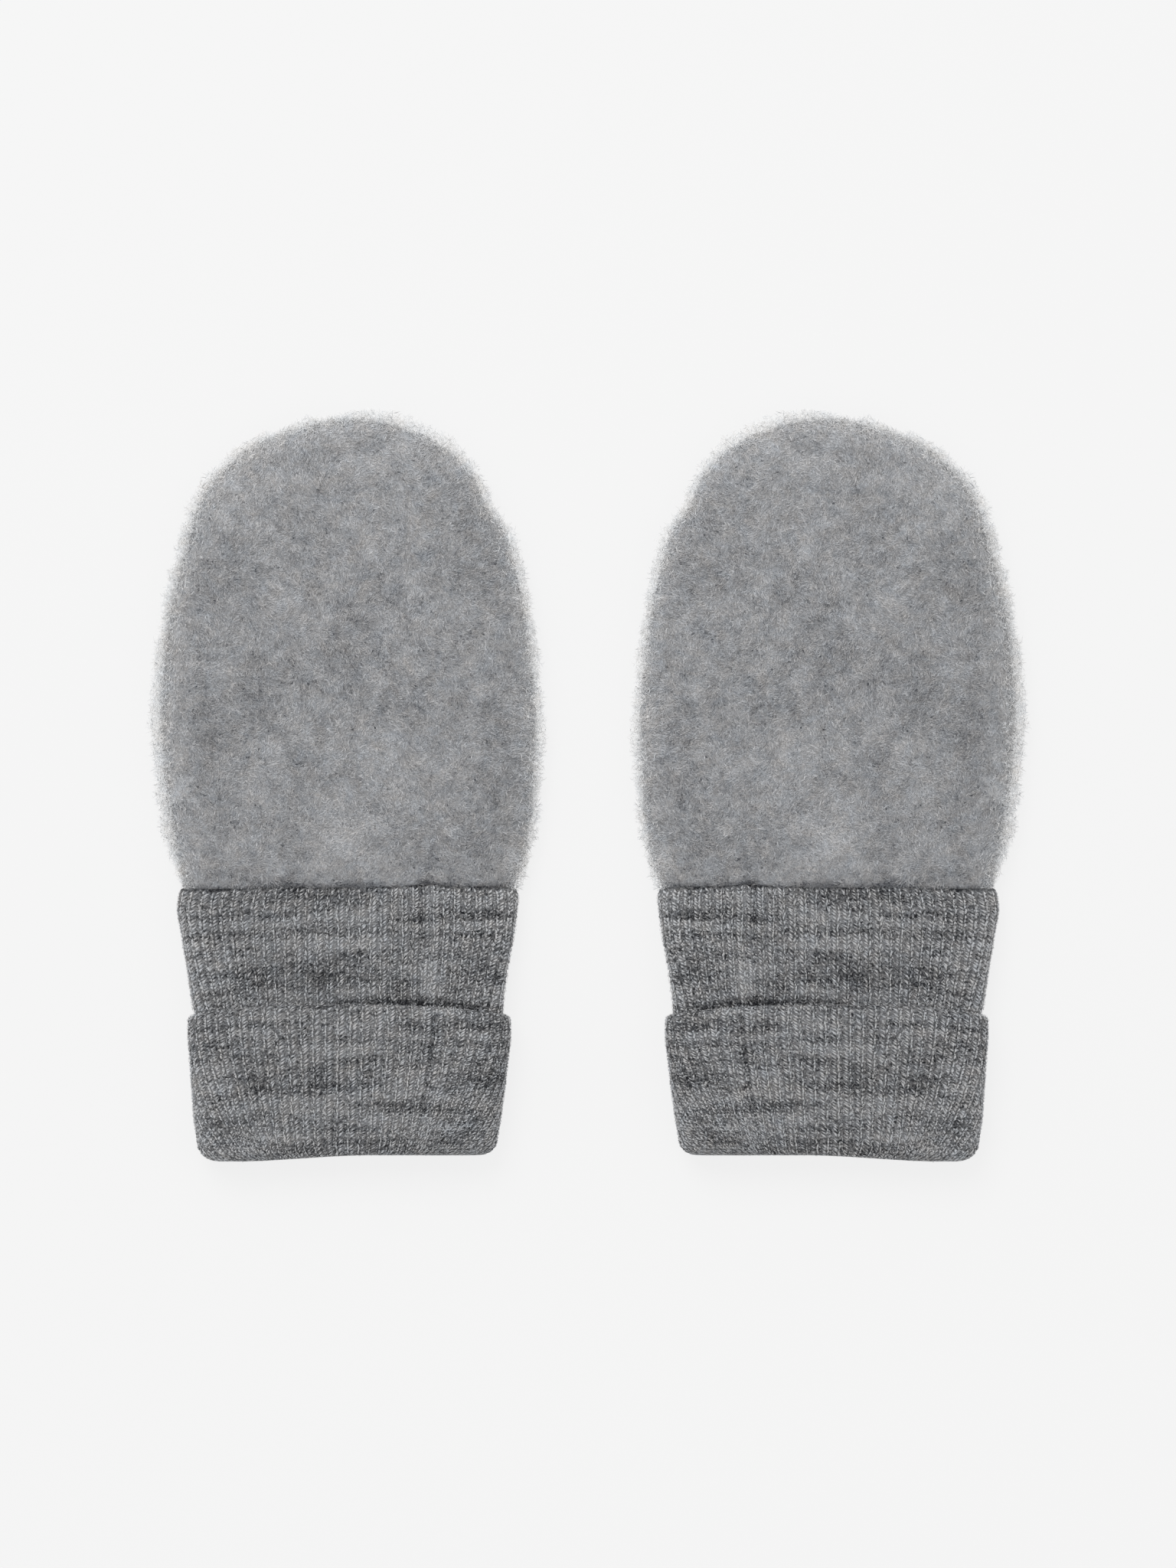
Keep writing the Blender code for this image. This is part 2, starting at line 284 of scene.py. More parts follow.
def melangeGroup():
    # Grey melange wool: the tone, varied by small flecks of dark and light fibre, picks a colour
    # between the dark fibres and the light ones, a little warmer in some patches than in others
    group, given, result = newGroup(
        "melange",
        [("Tone", "NodeSocketFloat", 1.0), ("Dark", "NodeSocketColor", (0.1, 0.1, 0.1, 1.0)),
         ("Light", "NodeSocketColor", (0.5, 0.5, 0.5, 1.0)), ("Fleck", "NodeSocketFloat", 0.3),
         ("Fleck size", "NodeSocketFloat", 0.4)],
        [("Color", "NodeSocketColor")],
    )
    place = addNode(group, "ShaderNodeTexCoord")
    scale = addNode(group, "ShaderNodeMath", {0: 1.0 / mm}, operation="DIVIDE")
    flecks = addNode(group, "ShaderNodeTexNoise", {"Detail": 3.0, "Roughness": 0.6, "Distortion": 0.6})
    spread = addNode(group, "ShaderNodeMapRange", {"From Min": 0.25, "From Max": 0.75, "To Min": -1.0})
    amount = addNode(group, "ShaderNodeMath", operation="MULTIPLY")
    varied = addNode(group, "ShaderNodeMath", operation="ADD")
    share = addNode(group, "ShaderNodeMath", {1: 0.5}, operation="MULTIPLY", use_clamp=True)
    colour = addNode(group, "ShaderNodeMix", data_type="RGBA")
    patches = addNode(group, "ShaderNodeTexNoise", {"Scale": 1.0 / (patchHue["size"] * mm), "Detail": 5.0,
                                                    "Roughness": 0.8, "Distortion": 0.4})
    warmth = addNode(group, "ShaderNodeMapRange", {"From Min": 0.3, "From Max": 0.7})
    ends = {"A": (*patchHue["cool"], 1.0), "B": (*patchHue["warm"], 1.0)}
    hue = addNode(group, "ShaderNodeMix", ends, data_type="RGBA")
    tinted = addNode(group, "ShaderNodeMix", {"Factor": 1.0}, data_type="RGBA", blend_type="MULTIPLY")
    wire(
        group,
        (place, "Object", patches, "Vector"), (patches, "Fac", warmth, "Value"),
        (warmth, "Result", hue, "Factor"), (colour, "Result", tinted, "A"), (hue, "Result", tinted, "B"),
        (given, "Fleck size", scale, 1), (place, "Object", flecks, "Vector"),
        (scale, 0, flecks, "Scale"), (flecks, "Fac", spread, "Value"), (spread, "Result", amount, 0),
        (given, "Fleck", amount, 1), (given, "Tone", varied, 0), (amount, 0, varied, 1),
        (varied, 0, share, 0), (share, 0, colour, "Factor"), (given, "Dark", colour, "A"),
        (given, "Light", colour, "B"), (tinted, "Result", result, "Color"),
    )
    return group


def fibreGroup():
    # The fine relief of spun fibres: stretched, turbulent noise as a height from 0 to 1
    group, given, result = newGroup(
        "fibres", [("Size", "NodeSocketFloat", 0.3)], [("Height", "NodeSocketFloat")]
    )
    place = addNode(group, "ShaderNodeTexCoord")
    scale = addNode(group, "ShaderNodeMath", {0: 1.0 / mm}, operation="DIVIDE")
    relief = addNode(group, "ShaderNodeTexNoise", {"Detail": 4.0, "Roughness": 0.65, "Distortion": 1.2})
    wire(group, (given, "Size", scale, 1), (place, "Object", relief, "Vector"),
         (scale, 0, relief, "Scale"), (relief, "Fac", result, "Height"))
    return group


def woolMaterial(name, melange, fibres):
    finish = wool[name]
    material = bpy.data.materials.new(name)
    material.use_nodes = True
    tree = material.node_tree
    shader = tree.nodes["Principled BSDF"]
    fill(shader, {"Roughness": finish["roughness"], "Specular IOR Level": 0.2,
                  "Sheen Weight": finish["sheen"], "Sheen Roughness": 0.6})
    tone = addNode(tree, "ShaderNodeAttribute", attribute_name="tone")
    colour = addNode(tree, "ShaderNodeGroup", {
        "Dark": (*finish["dark"], 1.0), "Light": (*finish["light"], 1.0), "Fleck": finish["fleck"],
        "Fleck size": finish["fleckSize"],
    }, node_tree=melange)
    wire(tree, (tone, "Fac", colour, "Tone"), (colour, "Color", shader, "Base Color"))
    if finish["bump"]:
        relief = addNode(tree, "ShaderNodeGroup", {"Size": finish["fleckSize"]}, node_tree=fibres)
        bump = addNode(tree, "ShaderNodeBump", {"Strength": finish["bump"], "Distance": 0.2 * mm})
        wire(tree, (relief, "Height", bump, "Height"), (bump, "Normal", shader, "Normal"))
    return material


# Fleece front and back

fleece = dict(
    wall=3.0,
    napDepth=1.9,  # from the reach of the nap in to the cloth that carries it
    seamHeight=3.4,
    seamGap=0.3,
    seamSink=0.15,  # of the front's edge into the cuff's seam
    seamFade=4.0,  # how far up from that seam its path can still be seen
    frontRound=12.0,
    backRound=6.0,
    focusY=55.0,
    rows=56,
    halfColumns=26,
    rowCrowding=1.2,
    mapWidth=80.0,
    mapHeight=100.0,
    tip=12,  # the outline's point at the fingertips, counted from 0
    # The reach of the nap, x and y, from the cuff seam at the left over the fingertips to the right
    outline=[
        (-32.7, 0), (-35.2, 11), (-36.9, 25), (-37.3, 38), (-36.2, 49.5), (-34.2, 59.5), (-31.4, 70),
        (-28.4, 77), (-24.2, 82), (-19, 85.8), (-12.8, 88.4), (-6.5, 90.3), (0.5, 91.3), (6.8, 90.9),
        (13, 88.8), (19, 85.7), (24, 81), (26.3, 76.6), (27.7, 73.4), (30.3, 70.2), (32.2, 64.8),
        (34.9, 53.5), (36.6, 40), (37.1, 29), (36.4, 15), (35, 6), (32.8, 0),
    ],
    # The cuff's seam as it runs over the front, a little above and below y = 0: x, y
    seamPath=[
        (-33, -0.35), (-26, -0.3), (-13, 0.3), (-5, 0.15), (5, 0.2), (11, 0.45), (15.5, 0.8), (21, 0.35),
        (27, 0.15), (31, -0.2), (33, -0.7),
    ],
    # Height of the front along its middle line: y, top
    crest=[(0.0, 6.9), (2.0, 7.5), (6.0, 7.9), (16.0, 8.2), (60.0, 8.3), (92.0, 7.8)],
    # Soft creases of the front: x, y, degrees, length, width, rise
    creases=[
        (22.5, 21.5, 10, 15, 5, 0.45), (27.5, 9.5, -32, 13, 6, -0.6), (24, 39, -5, 15, 6, -0.4),
        (16.5, 61, -8, 13, 6, 0.35), (6, 77, 0, 12, 5, 0.35), (-3.5, 9, 100, 15, 9, 0.5),
        (-24, 67.5, 48, 14, 8, 0.4), (-20, 27, 20, 17, 8, -0.35),
    ],
    # Clouds of lighter and darker wool: x, y, degrees, length, width, tone
    clouds=[
        (-3.5, 8.5, 95, 15, 9, 0.18), (-12, 80, 15, 34, 13, 0.1), (-26, 66, 65, 24, 8, 0.04),
        (0, 40, 4, 60, 9, -0.08), (26, 12, 60, 22, 12, -0.08), (-27, 20, 100, 24, 9, -0.07),
        (28, 42, 95, 60, 18, 0.03), (8, 86, -12, 26, 9, 0.08), (-26, 42, 95, 50, 16, -0.05),
        (12, 74, 0, 18, 9, 0.05), (14, 24, 10, 20, 8, 0.05), (-12, 52, 20, 18, 9, 0.05),
        (4, 62, -10, 24, 7, -0.05),
    ],
    tone=0.985,
    # clothTone is painted shade on the cloth under the nap
    clothTone=-0.08,  # of the cloth under the nap
    # Mottling along bent lines: size, seed, strength
    mottle=[(6.5, 11, 0.10), (2.9, 12, 0.13), (1.4, 13, 0.17), (0.7, 16, 0.20)],
    bendX=[(5.0, 14, 1.2)],
    bendY=[(4.0, 15, 1.0)],
    stretch=0.75,  # of the mottling, crosswise
    # Wavering of the cuff's seam, and the patches of painted shade above it
    waver=[(3.5, 24, 0.22), (1.1, 28, 0.16)],
    seamShadePatches=[(5.0, 27, 1.0)],
)


def outlineAt(place):
    # Catmull-Rom curve through the outline, at a place counted in its own points
    points = np.array(fleece["outline"])
    last = len(points) - 1
    start = np.clip(place.astype(int), 0, last - 1)
    share = (place - start)[..., None]
    before, a, b, after = (points[np.clip(start + step, 0, last)] for step in (-1, 0, 1, 2))
    square, cube = share**2, share**3
    return (a * (2 * cube - 3 * square + 1) + (b - before) / 2 * (cube - 2 * square + share)
            + b * (3 * square - 2 * cube) + (after - a) / 2 * (cube - square))


def seamPath(x):
    return np.interp(x, *zip(*fleece["seamPath"]))


def frontHeight(x, y, inset, sunk):
    # From the side seam up to the crest along a quarter circle, with the creases where it is outside
    seam = fleece["seamHeight"] + fleece["seamGap"] / 2
    level = np.interp(y, *zip(*fleece["crest"])) - sunk
    if sunk < fleece["wall"]:
        level = level + softMarks(x, y, fleece["creases"])
    return mix(seam, level, quarterRound(inset / fleece["frontRound"]))


def backHeight(x, y, inset, sunk):
    # From the side seam down to the table along a quarter circle
    seam = fleece["seamHeight"] - fleece["seamGap"] / 2
    return mix(seam, sunk, quarterRound(inset / fleece["backRound"]))


# How far the cloth lies inside the reach of the nap, whether its faces are turned over, how many
# fibres lie on it, and how many loose hairs stand at its edge
panels = dict(
    front=dict(height=frontHeight, sunk=0.9, flip=False, fibres=78000, hairs=22100),
    back=dict(height=backHeight, sunk=0.5, flip=True, fibres=24000, hairs=11900),
)


def panelSkin(height, inward, sunk):
    # Points on a grid: rows climb from the cuff seam to the tip, columns run from the left side seam
    # over the middle line to the right one. inward is how far in from the outline the skin starts,
    # sunk how far it lies inside the panel's outer face.
    climb = np.linspace(0.0, 1.0, fleece["rows"] + 1) ** fleece["rowCrowding"]
    half = fleece["halfColumns"]
    across = np.sin(np.linspace(-np.pi / 2, np.pi / 2, 2 * half + 1))
    tip, last = fleece["tip"], len(fleece["outline"]) - 1
    left, right = outlineAt(tip * climb), outlineAt(last - (last - tip) * climb)
    middleY = np.minimum((left[:, 1] + right[:, 1]) / 2, fleece["focusY"])[:, None]
    edge = np.where(across[None, :, None] <= 0, left[:, None], right[:, None])
    share = 1.0 - np.abs(across)[None]
    length = np.hypot(edge[..., 0], edge[..., 1] - middleY)
    reach = mix(inward, length, share) / length
    x = edge[..., 0] * (1.0 - reach)
    y = mix(edge[..., 1], middleY, reach)
    if height is frontHeight:
        # The front's edge follows the cuff's seam
        y = y + (seamPath(x) - fleece["seamSink"]) * bell(y, fleece["seamFade"])
    inset = share * length
    return np.stack([x, y, height(x, y, inset, sunk)], axis=-1), inset


def panelShell(height, outerSunk):
    # A closed wall: outside, inside, the edge at the side seam and the end at the cuff.
    # At the tip the two halves of the last row are the same points, so they are welded.
    outside, inset = panelSkin(height, fleece["napDepth"], outerSunk)
    inside, _ = panelSkin(height, fleece["wall"], fleece["wall"])
    rows, columns = outside.shape[:2]
    number = np.arange(rows * columns).reshape(rows, columns)
    number[-1, columns // 2 + 1:] = number[-1, :columns // 2][::-1]
    skins = [number, number + rows * columns]
    quads = []
    for skin, turn in zip(skins, (1, -1)):
        block = np.stack([skin[:-1, :-1], skin[:-1, 1:], skin[1:, 1:], skin[1:, :-1]], axis=-1)
        quads.append(block.reshape(-1, 4)[:, ::turn])
    outer, inner = skins
    for column, turn in ((0, 1), (-1, -1)):
        edge = np.stack([outer[:-1, column], outer[1:, column], inner[1:, column], inner[:-1, column]], 1)
        quads.append(edge[:, ::turn])
    mouth = np.stack([outer[0, 1:], outer[0, :-1], inner[0, :-1], inner[0, 1:]], axis=1)
    quads.append(mouth)
    return outside, inside, inset, np.concatenate(quads)


def seamLine(x):
    # How far above y = 0 the nap ends: it wavers along the cuff's seam
    return seamPath(x) + noiseSum(x, 0.0 * x, fleece["waver"])


def fleeceTone(x, y, inset):
    # 1 on average: listed clouds, mottling in four sizes along bent lines, painted light near the edge where
    #               the
    # table's light comes through the nap, painted shadow where the fleece turns in to the cuff's seam, and
    # painted shade in patches just above that seam
    bentX = fleece["stretch"] * x + noiseSum(x, y, fleece["bendX"])
    bentY = y + noiseSum(x, y, fleece["bendY"])
    mottle = noiseSum(bentX, bentY, fleece["mottle"])
    reach = inset + fleece["napDepth"]
    # painted light near the edge, where the table's light comes through the nap
    edge = 3.0 * np.exp(-reach / 1.3) + 0.16 * bell(reach, 4.0)
    above = np.maximum(y - seamLine(x), 0.0)
    # painted shadow where the fleece turns in to the cuff's seam
    paintedSeamShadow = 0.45 * bell(above, 0.5)
    # painted shade in patches above the cuff's seam
    patchyShade = 0.5 * np.maximum(noiseSum(x, 0.4 * y, fleece["seamShadePatches"]), 0.0) * bell(above, 1.5)
    return fleece["tone"] + softMarks(x, y, fleece["clouds"]) + mottle + edge - paintedSeamShadow - patchyShade


def buildPanel(side, name, material):
    height, outerSunk, flip = (panels[name][key] for key in ("height", "sunk", "flip"))
    outside, inside, inset, quads = panelShell(height, outerSunk)
    points = np.concatenate([outside.reshape(-1, 3), inside.reshape(-1, 3)])
    quads = quads[:, ::-1] if flip else quads
    inset = np.tile(inset.ravel(), 2)
    tone = fleeceTone(points[:, 0], points[:, 1], inset) + fleece["clothTone"]
    used, quads = np.unique(quads, return_inverse=True)
    quads = quads.reshape(-1, 4)
    points, tone = points[used], tone[used]
    # On the piece's own map the outside fills the left half and the inside the right half
    half = np.where(used >= inset.size // 2, 1.0, 0.0)
    across, up = points[:, 0] / fleece["mapWidth"] + 0.5, (points[:, 1] + 3.0) / fleece["mapHeight"]
    cell = np.stack([(across + half) / 2.0, up], axis=1)
    piece = makePiece(f"{side}_{name}_cloth", side, points, quads, material, tone, cell)
    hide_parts(f"{side}_{name}")
    return piece


# Nap of the fleece

nap = dict(
    length=1.10,
    lengthSpread=0.30,
    width=0.25,
    lengths=(0.5, 2.0),
    lean=2.0,  # most that a fibre leans outwards near the side seam
    lying=0.75,  # how nearly a fibre follows the cloth
    lift=0.12,  # most that a fibre's root stands off the cloth
    rise=0.07,  # most that its end rises above its root
    curl=30.0,
    roll=0.15,
    toneSpread=0.14,
    darkShare=0.14,
    darkTone=-0.24,
    otherTone=0.02,
    # shade is painted shade at each fibre's root, under the fibres above it, and painted light at its tip
    shade=(-0.05, 0.0, 0.0, 0.03),  # from root to tip
    speckShare=0.06,  # short dark fibres that lie on top
    speckTone=-0.30,
    gather=[(2.2, 25, 1.6)],  # of the specks in patches
    swirl=[(9.0, 21, 2.6), (2.5, 22, 0.7)],
    swirlSpread=0.6,
    seed=5,
)
rim = dict(
    edge=0.8,  # how far in from the cloth's edge most of the hairs are rooted
    length=1.4,
    width=0.08,
    reach=2.2,  # from the cloth's edge out to the last loose hair's root
    crowding=1.6,
    tufts=[(2.6, 26, 0.35), (9.0, 29, 0.25)],
    cuffShare=0.6,  # of the reach that is left at the cuff's seam
    cuffFade=8.0,
    stray=0.35,
    outward=(0.35, 0.8),
    upward=(0.0, 0.3),
    sideways=(0.0, 1.2),
    roll=0.4,
    # tones: painted light on the loose hairs, rising outwards from the cloth's edge, where the table's light
    # comes through them
    tones=(1.0, 1.85),
    paintedLightFrom=1.4,  # distance out at which the hairs are palest
    toneSpread=0.25,
    darkShare=0.07,
    darkTone=-0.9,
)
leastHeight = 0.02  # of the points of fibres and stitches above the table
upright = np.array([0.0, 0.0, 1.0])
level = 1.0 - upright
strandMap = [(0.0, 0.5), (0.5, 0.0), (0.5, 1.0), (1.0, 0.5)]
strandFaces = np.array([(0, 1, 2), (1, 3, 2)])


def scatter(grid, values, count, weight, rng):
    # Random places on a grid of points, as many to each cell as its area times its weight asks for:
    # the place, the surface's direction there and the value there
    a, b, c, d = grid[:-1, :-1], grid[:-1, 1:], grid[1:, 1:], grid[1:, :-1]
    halves = [np.cross(b - a, c - a), np.cross(c - a, d - a)]
    area = sum(np.linalg.norm(half, axis=-1) for half in halves)
    chance = (area * weight).ravel()
    chosen = rng.choice(chance.size, count, p=chance / chance.sum())
    u, v = rng.random((2, count, 1))
    corners = [corner.reshape(-1, 3)[chosen] for corner in (a, b, c, d)]
    place = mix(mix(corners[0], corners[1], u), mix(corners[3], corners[2], u), v)
    facing = np.cross(corners[2] - corners[0], corners[3] - corners[1])
    return place, unit(facing), values[:-1, :-1].ravel()[chosen]


def strands(root, along, facing, length, width, rise, curl, roll):
    # A kite for each fibre, pointed at its root and its tip, widest and bent in the middle
    side = unit(np.cross(facing, along))
    bent = along * np.cos(curl) + side * np.sin(curl)
    middle = root + along * length * 0.5 + facing * rise * 0.7
    tip = middle + bent * length * 0.5 + facing * rise * 0.3
    half = (side * np.cos(roll) + facing * np.sin(roll)) * width / 2
    points = np.stack([root, middle - half, middle + half, tip], axis=1).reshape(-1, 3)
    points[:, 2] = np.maximum(points[:, 2], leastHeight)
    faces = (np.arange(len(root))[:, None, None] * 4 + strandFaces).reshape(-1, 3)
    return points, faces


def swirl(x, y, rng):
    # The way the nap lies: it turns slowly over some 9 mm, a little over 2.5 mm, and by chance
    return noiseSum(x, y, nap["swirl"]) + rng.normal(0.0, nap["swirlSpread"], x.shape)


def buildNap(name):
    # Lying fibres all over a panel's outside, leaning outwards near its rim
    panel = panels[name]
    count = panel["fibres"]
    each = (count, 1)
    rng = np.random.default_rng(nap["seed"] + count)
    grid, inset = panelSkin(panel["height"], fleece["napDepth"], panel["sunk"])
    place, facing, edge = scatter(grid, inset, count, np.ones(1), rng)
    facing = -facing if panel["flip"] else facing
    turn = swirl(place[:, 0], place[:, 1], rng)
    flatWay = np.stack([np.cos(turn), np.sin(turn), np.zeros(count)], axis=1)
    flatWay = flatWay + facing * level * rng.uniform(0.0, nap["lean"], each)
    along = unit(flatWay - nap["lying"] * facing * (flatWay * facing).sum(axis=1, keepdims=True))
    gather = np.maximum(1.0 + noiseSum(place[:, :1], place[:, 1:2], nap["gather"]), 0.0)
    speck = rng.random(each) < nap["speckShare"] * gather
    length = np.clip(rng.normal(nap["length"], nap["lengthSpread"], each), *nap["lengths"])
    length = np.where(speck, 0.5 * length, length)
    width = nap["width"] * rng.uniform(0.6, 1.2, each) * np.where(speck, 1.4, 1.0)
    rise = nap["rise"] * rng.random(each)
    curl = np.radians(nap["curl"]) * rng.normal(0.0, 1.0, each)
    roll = rng.uniform(-nap["roll"], nap["roll"], each)
    root = place + facing * nap["lift"] * np.where(speck, 1.0, rng.random(each))
    # Over the cuff's seam the nap is drawn up, and only the ends of a few fibres hang over it
    above = root[:, 1:2] - seamLine(root[:, 0:1])
    ragged = 0.1 - 0.55 * rng.random(each) ** 3
    root[:, 1:2] = root[:, 1:2] + np.maximum(ragged - above, 0.0)
    droop = -np.clip(np.abs(above) + rng.uniform(0.2, 0.8, each), 0.0, 1.0)
    along = unit(np.where(np.array([False, True, False]), np.maximum(along, droop), along))
    points, faces = strands(root, along, facing, length, width, rise, curl, roll)
    tone = fleeceTone(place[:, 0], place[:, 1], edge) + nap["toneSpread"] * rng.normal(0.0, 1.0, count)
    tone = tone + np.where(rng.random(count) < nap["darkShare"], nap["darkTone"], nap["otherTone"])
    tone = tone + np.where(speck[:, 0], nap["speckTone"], 0.0)
    # painted shade at each fibre's root and painted light at its tip
    tone = (tone[:, None] + np.array(nap["shade"])).ravel()
    return points, faces, tone, patchMap(count, strandMap), np.repeat(facing, 4, axis=0)


def buildRim():
    # A tangle of short loose hairs round the side seam, thinner the further out they lie, and paler there
    # with painted light of the table coming through them
    rng = np.random.default_rng(nap["seed"])
    blocks = []
    for panel in panels.values():
        count = panel["hairs"]
        each = (count, 1)
        grid, inset = panelSkin(panel["height"], fleece["napDepth"], panel["sunk"])
        weight = np.exp(-inset[:-1, :-1] / rim["edge"])
        place, facing, _ = scatter(grid, inset, count, weight, rng)
        facing = -facing if panel["flip"] else facing
        outward = unit(facing * level)
        sideways = np.cross(upright, outward)
        tuft = 1.0 + noiseSum(place[:, :1], place[:, 1:2], rim["tufts"])
        nearSeam = mix(rim["cuffShare"], 1.0, smoothShare(place[:, 1:2] / rim["cuffFade"]))
        out = rim["reach"] * rng.random(each) ** rim["crowding"] * tuft * nearSeam
        root = place + outward * out + upright * rng.normal(0.0, rim["stray"], each)
        along = outward * rng.normal(*rim["outward"], each) + upright * rng.normal(*rim["upward"], each)
        along = unit(along + sideways * rng.normal(*rim["sideways"], each))
        length = rim["length"] * rng.uniform(0.4, 1.2, each) * mix(0.5, 1.0, nearSeam)
        width = rim["width"] * rng.uniform(0.6, 1.4, each)
        curl = rng.normal(0.0, 1.0, each)
        roll = rng.uniform(-rim["roll"], rim["roll"], each)
        lying = unit(np.cross(along, np.cross(upright, along)))
        points, faces = strands(root, along, lying, length, width, 0.0, curl, roll)
        # painted light on the hairs, rising with their distance out from the cloth's edge
        tone = mix(*rim["tones"], smoothShare(out[:, 0] / rim["paintedLightFrom"]))
        tone = tone + rng.normal(0.0, rim["toneSpread"], count)
        tone = tone + np.where(rng.random(count) < rim["darkShare"], rim["darkTone"], 0.0)
        blocks.append((points, faces, np.repeat(tone, 4), np.repeat(unit(facing + lying), 4, axis=0)))
    points, faces, tone, toward = joined(blocks)
    return points, faces, tone, patchMap(len(points) // 4, strandMap), toward


# Rib cuff

cuff = dict(
    wall=2.0,
    gap=0.4,
    ribs=34,
    endRound=4.5,
    furrow=0.45,  # depth of the ground between ribs
    crest=0.28,  # depth of the ground under a rib
    edgeTop=-22.3,
    edgeBow=2.3,
    bowPower=2.5,
    foldLeft=-52.4,
    foldRight=-51.2,
    foldSlopeStart=0.1,
    seamTop=-0.2,
    upperArc=68.5,  # from side fold to side fold over the upper side at the seam
    tuck=1.5,  # how far the knit is followed below the turn-up's edge
    insideReach=4.0,  # and up inside the mouth
    upperCourses=37,
    edgeCourses=4,
    outsideCourses=43,
    foldCourses=11,
    insideCourses=6,
    # Sections of the flattened tube: y, left, right, base, top
    tube=[
        (-52.5, -25.6, 25.4, 2.4, 7.4), (-45, -27.3, 27, 2.4, 7.5), (-36, -28, 28, 2.4, 7.6),
        (-26, -28.5, 28.8, 2.4, 7.5), (-24.8, -29.4, 29.7, 2.4, 7.5), (-23.3, -30, 29.9, 2.3, 7.4),
        (-20, -30.5, 30.1, 2, 7.3), (-14.7, -31.3, 30.9, 1.4, 7.2), (-9.5, -32.2, 31.9, 0.8, 7.1),
        (-4.6, -33.1, 32.6, 0.3, 7), (-2, -32.9, 32.8, 0.1, 6.8), (0, -32.6, 32.8, 0, 6.4),
    ],
    turnUp=[
        (-52.5, -28, 27.8, 0, 9.8), (-50, -29.1, 28.5, 0, 9.9), (-45, -29.8, 29.4, 0, 10),
        (-36, -30.4, 30.5, 0, 10), (-29, -30.9, 31.3, 0, 10), (-22, -30.9, 31.3, 0, 10),
    ],
    # Soft ridges and troughs of the upper side, also painted with light on the ridges and shade in the
    # troughs: x, y, degrees, length, width, rise
    creases=[
        (-19, -9.1, 2, 17, 1.8, -0.26), (-6, -8, 6, 12, 1.4, -0.2), (-12.5, -11.6, 0, 12, 2, 0.2),
        (-8, -6, 10, 16, 1.8, 0.24), (5.7, -2.9, 20, 10, 2.2, 0.36), (0, -14.7, 0, 5, 1.8, -0.34),
        (2, -17.3, -4, 15, 1.5, -0.22), (10, -19.4, 8, 8, 2.4, -0.42), (20, -22.6, -6, 24, 1.6, -0.36),
        (14.3, -16.1, 0, 5, 2.4, 0.42), (6.5, -10.2, 5, 7, 2, 0.16), (27.5, -2.6, 0, 6, 3, 0.24),
        (-31, -3, 20, 7, 3, 0.2), (-29.5, -11.5, 20, 7, 2.4, 0.2), (-22.5, -17, 15, 7, 2.2, -0.22),
        (-16, -15.2, 8, 11, 2, -0.22), (-15.3, -24.2, 10, 6, 2, 0.34), (3, -24.4, 0, 34, 2, 0.12),
        (-9.2, -28.1, 0, 9, 1.8, -0.28), (-25.5, -30.2, 0, 11, 4.4, -0.24),
        (-16, -31.9, 0, 10, 1.6, -0.2), (5, -32.1, 0, 6, 3.2, -0.28), (-6, -33.9, 0, 30, 1.2, -0.18),
        (16, -31.7, 0, 7, 2.6, -0.28), (-23.5, -39.2, -12, 18, 4.4, 0.26), (-1.5, -36.5, 0, 22, 4, 0.14),
        (17.5, -40.7, 10, 9, 2.4, 0.26), (-16, -43.9, 0, 9, 2.4, -0.42), (-6, -44, 0, 9, 1.8, -0.26),
        (-0.3, -42.2, 0, 9, 2.4, 0.32), (18, -42.6, -4, 10, 1.5, -0.26), (2, -48.4, -2, 20, 1.6, -0.2),
        (-8.5, -50.3, 0, 6, 2, -0.3), (11.5, -49, 8, 7, 2, 0.22),
    ],
    # Lighter and darker patches on the upper side, most of them painted light and shade on its ridges, its
    # troughs and the turn-up's rolled edge: x, y, degrees, length, width, tone
    lightAndShadePatches=[
        (15.8, -18, 0, 5, 8, 0.75), (16, -5, 0, 6, 6, 0.16), (9, -3.2, 20, 10, 3, 0.25),
        (24, -3.6, 0, 9, 4, 0.18), (-8, -11.6, 0, 14, 3, 0.2), (-14, -24, 10, 5, 2.4, 0.45),
        (5.1, -23.6, 0, 8, 2, 0.28), (20.6, -24.4, -20, 7, 2.4, 0.25), (10.6, -18.7, 10, 7, 3.4, -0.6),
    ],
    seamShare=0.712,  # of the way over the upper side, where the lengthwise seam lies
    seamWidth=0.008,
    seamTrough=0.30,
    seamSwelling=0.22,
    waver=(0.0011, 0.0031),  # of the wales, left and right of the lengthwise seam
)


def sectionPoint(rows, y, around, depth):
    # A point of the flattened tube, a depth in from its surface. around runs from 0 at the left fold
    # to 1 at the right one over the upper side, and on to 2 along the underside. The section is level
    # above and below, with an elliptical quarter at each corner.
    around = np.mod(around, 2.0)
    share = np.where(around <= 1.0, around, 2.0 - around)
    places, *columns = zip(*rows)
    left, right, base, top = (np.interp(y, places, column) for column in columns)
    left, right, base, top = left + depth, right - depth, base + depth, top - depth
    halfWidth, halfHeight = (right - left) / 2, (top - base) / 2
    corner = np.maximum(cuff["endRound"] - depth, halfHeight)
    quarter = np.pi / 2 * np.sqrt((corner**2 + halfHeight**2) / 2)
    travel = np.minimum(share, 1.0 - share) * 2 * (halfWidth - corner + quarter)
    angle = np.clip(travel / quarter, 0.0, 1.0) * np.pi / 2
    inset = corner * (1 - np.cos(angle)) + np.maximum(travel - quarter, 0.0)
    x = np.where(share < 0.5, left + inset, right - inset)
    rise = halfHeight * np.sin(angle)
    z = (base + top) / 2 + np.where(around <= 1.0, rise, -rise)
    upper = smoothShare((rise / halfHeight - 0.5) * 2) * (around <= 1.0)
    return x, z, upper


